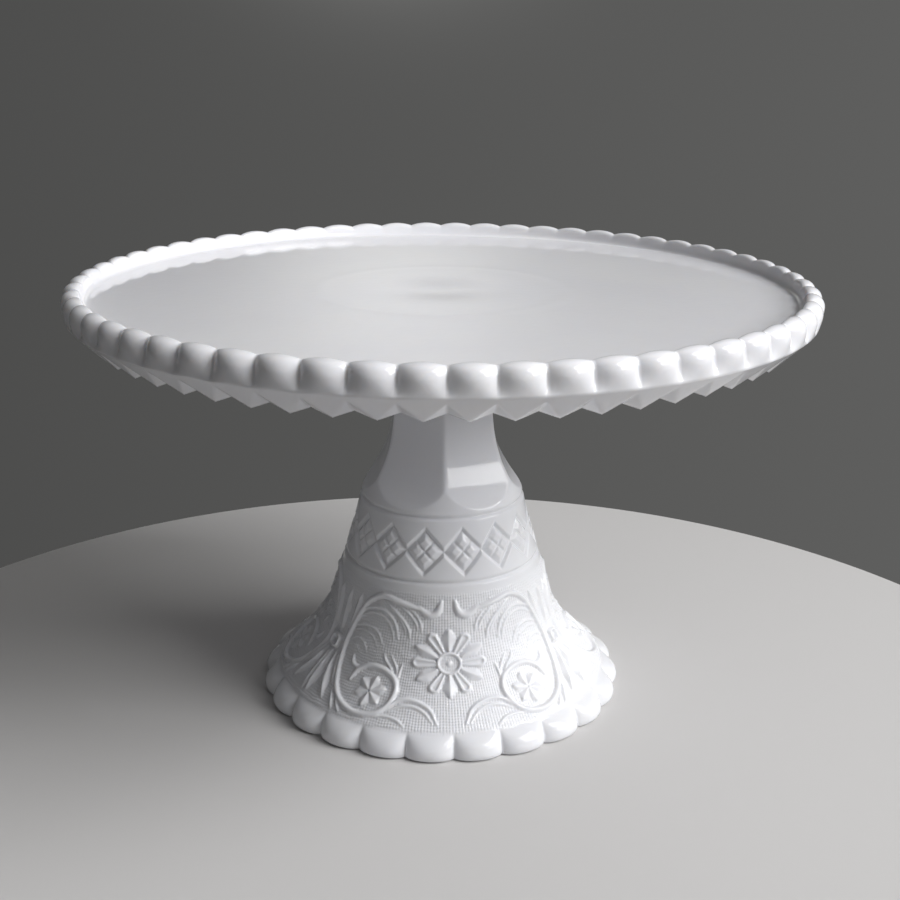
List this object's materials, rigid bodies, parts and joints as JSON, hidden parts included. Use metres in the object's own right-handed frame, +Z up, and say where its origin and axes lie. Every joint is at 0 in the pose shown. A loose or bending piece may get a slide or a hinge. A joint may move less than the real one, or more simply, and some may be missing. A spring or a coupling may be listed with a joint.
{
  "type": "cake stand",
  "caption": "Round pressed-glass cake stand in opaque white: beaded rim plate on a hollow pedestal with a six-sided stem and scalloped bell foot.",
  "frame": {"origin": "centre of the foot, on the surface that the stand rests on", "axes": "+Z up along the stem; -Y is the front, where a stem edge and a flower motif face; +X to the right"},
  "size_m": [0.292, 0.292, 0.1743],
  "materials": {
    "plate_glass": "glossy opaque white milk glass",
    "wafer_glass": "glossy opaque white milk glass, fire polished",
    "pedestal_glass": "glossy opaque white milk glass"
  },
  "bodies": {
    "root": {"plate": "plate_glass", "joining_wafer": "wafer_glass", "pedestal": "pedestal_glass"}
  },
  "joints": []
}
